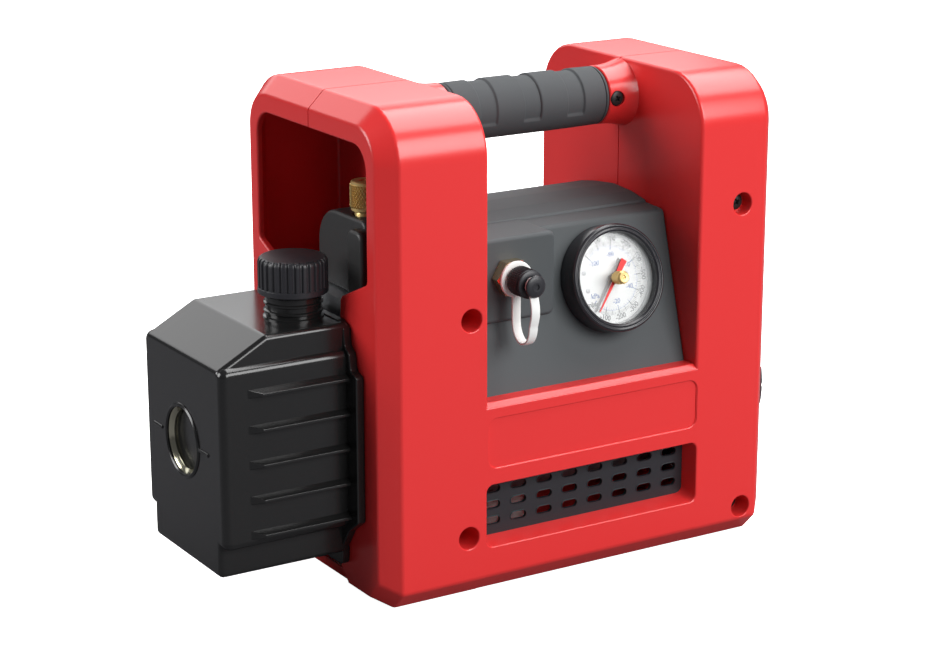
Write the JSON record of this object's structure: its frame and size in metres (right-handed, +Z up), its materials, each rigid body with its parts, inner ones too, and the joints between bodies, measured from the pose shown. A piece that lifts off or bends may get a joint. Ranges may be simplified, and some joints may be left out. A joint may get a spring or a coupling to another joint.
{
  "type": "hvac vacuum pump",
  "caption": "Portable rotary vane vacuum pump: moulded housing of two hoops with a carry handle, vacuum gauge, capped intake, ribbed oil tank with sight glass, fan-cooled motor.",
  "frame": {"origin": "on the ground under the middle of the moulded housing, where the seam plane meets the middle of its length", "axes": "+Z up, +X along the shaft from the oil tank to the motor fan, -Y towards the front with the gauge"},
  "size_m": [0.3322, 0.1549, 0.25],
  "materials": {
    "red_moulding": "semi-gloss moulded plastic",
    "charcoal_moulding": "fine textured",
    "black_moulding": "semi-gloss",
    "black_matte": "satin",
    "grip_rubber": "matte",
    "seal_rubber": "matte",
    "strap_plastic": "translucent, milky",
    "tank_black": "gloss",
    "steel": "bright",
    "blackened_steel": "black oxide",
    "brass": "satin",
    "cast_aluminium": "as cast",
    "black_casting": "painted, satin",
    "iron": "machined",
    "motor_paint": "grey paint",
    "copper": "varnished copper wire",
    "dial_white": "printed white",
    "dial_black": "black paint",
    "dial_red": "red paint",
    "clear_glass": "clear",
    "sight_glass": "clear, oil behind"
  },
  "bodies": {
    "housing": {"front_shell": "red_moulding", "rear_shell": "red_moulding", "handle_tube": "steel", "handle_grip": "grip_rubber", "control_cover": "charcoal_moulding", "gauge_case": "steel", "gauge_bezel": "black_moulding", "gauge_dial": "dial_white", "gauge_glass": "clear_glass", "intake_fitting": "brass", "cap_strap": "strap_plastic", "intake_pipe": "seal_rubber", "intake_manifold": "black_casting", "ballast_valve": "brass", "oil_tank": "tank_black", "sight_ring": "steel", "sight_glass": "sight_glass", "drain_plug": "steel", "tank_seal": "seal_rubber", "pump_body": "cast_aluminium", "shaft_seal": "seal_rubber", "pump_cartridge": "iron", "pump_end_plate": "iron", "motor_housing": "motor_paint", "capacitor": "cast_aluminium", "front_end_bell": "cast_aluminium", "rear_end_bell": "cast_aluminium", "front_bearing": "steel", "rear_bearing": "steel", "stator_core": "iron", "front_winding": "copper", "rear_winding": "copper", "fan_cover": "black_matte", "front_grille": "black_matte", "rear_grille": "black_matte", "switch_frame": "black_matte", "mains_inlet": "black_matte", "housing_screw_1": "blackened_steel", "housing_screw_2": "blackened_steel", "housing_screw_3": "blackened_steel", "housing_screw_4": "blackened_steel", "handle_screw_1": "blackened_steel", "handle_screw_2": "blackened_steel"},
    "rotating_group": {"motor_shaft": "steel", "rotor_core": "iron", "cooling_fan": "black_matte", "shaft_coupling": "cast_aluminium", "pump_rotor": "steel", "upper_vane": "black_matte", "lower_vane": "black_matte"},
    "pressure_hand": {"gauge_pointer": "dial_black"},
    "set_hand": {"set_pointer": "dial_red", "set_knob": "brass"},
    "intake_seal_slide": {"intake_cap_seal": "seal_rubber"},
    "intake_cap_turn": {"intake_cap": "black_matte"},
    "ballast_stem_slide": {"ballast_stem": "brass"},
    "ballast_knob_turn": {"ballast_knob": "brass"},
    "filler_seal_slide": {"filler_seal": "seal_rubber"},
    "filler_cap_turn": {"oil_fill_cap": "black_matte"},
    "rocker": {"switch_rocker": "black_moulding"}
  },
  "joints": [
    {"name": "shaft_spin", "type": "hinge", "parent": "housing", "child": "rotating_group", "pos_m": [0, 0, 0.07], "axis": [1, 0, 0], "continuous": true},
    {"name": "pressure_hand_turn", "type": "hinge", "parent": "housing", "child": "pressure_hand", "pos_m": [0.027, -0.05025, 0.14679], "axis": [0, -0.9648, 0.2629], "range_deg": [0, 260], "stiffness_Nm_per_rad": 0.0005},
    {"name": "set_hand_turn", "type": "hinge", "parent": "housing", "child": "set_hand", "pos_m": [0.027, -0.05025, 0.14679], "axis": [0, -0.9648, 0.2629], "range_deg": [-17, 253]},
    {"name": "intake_cap_rise", "type": "slide", "parent": "housing", "child": "intake_seal_slide", "axis": [0, -1, 0], "range_m": [0, 0.00127]},
    {"name": "intake_cap_turn", "type": "hinge", "parent": "intake_seal_slide", "child": "intake_cap_turn", "pos_m": [-0.0355, -0.07, 0.1582], "axis": [0, -1, 0], "range_deg": [0, 361]},
    {"name": "ballast_rise", "type": "slide", "parent": "housing", "child": "ballast_stem_slide", "axis": [0, 0, 1], "range_m": [0, 0.0015]},
    {"name": "ballast_turn", "type": "hinge", "parent": "ballast_stem_slide", "child": "ballast_knob_turn", "pos_m": [-0.095, -0.018, 0.2], "axis": [0, 0, 1], "range_deg": [0, 541]},
    {"name": "filler_cap_rise", "type": "slide", "parent": "housing", "child": "filler_seal_slide", "axis": [0, 0, 1], "range_m": [0, 0.009]},
    {"name": "filler_cap_turn", "type": "hinge", "parent": "filler_seal_slide", "child": "filler_cap_turn", "pos_m": [-0.1336, -0.014, 0.16], "axis": [0, 0, 1], "range_deg": [0, 1081]},
    {"name": "rocker_tip", "type": "hinge", "parent": "housing", "child": "rocker", "pos_m": [-0.032, 0.04877, 0.14084], "axis": [-1, 0, 0], "range_deg": [0, 12]}
  ],
  "couplings": [
    {"joint": "intake_cap_turn", "follows": "intake_cap_rise", "rad_per_m": 4947.4},
    {"joint": "ballast_turn", "follows": "ballast_rise", "rad_per_m": 6283.2},
    {"joint": "filler_cap_turn", "follows": "filler_cap_rise", "rad_per_m": 2094.4}
  ]
}
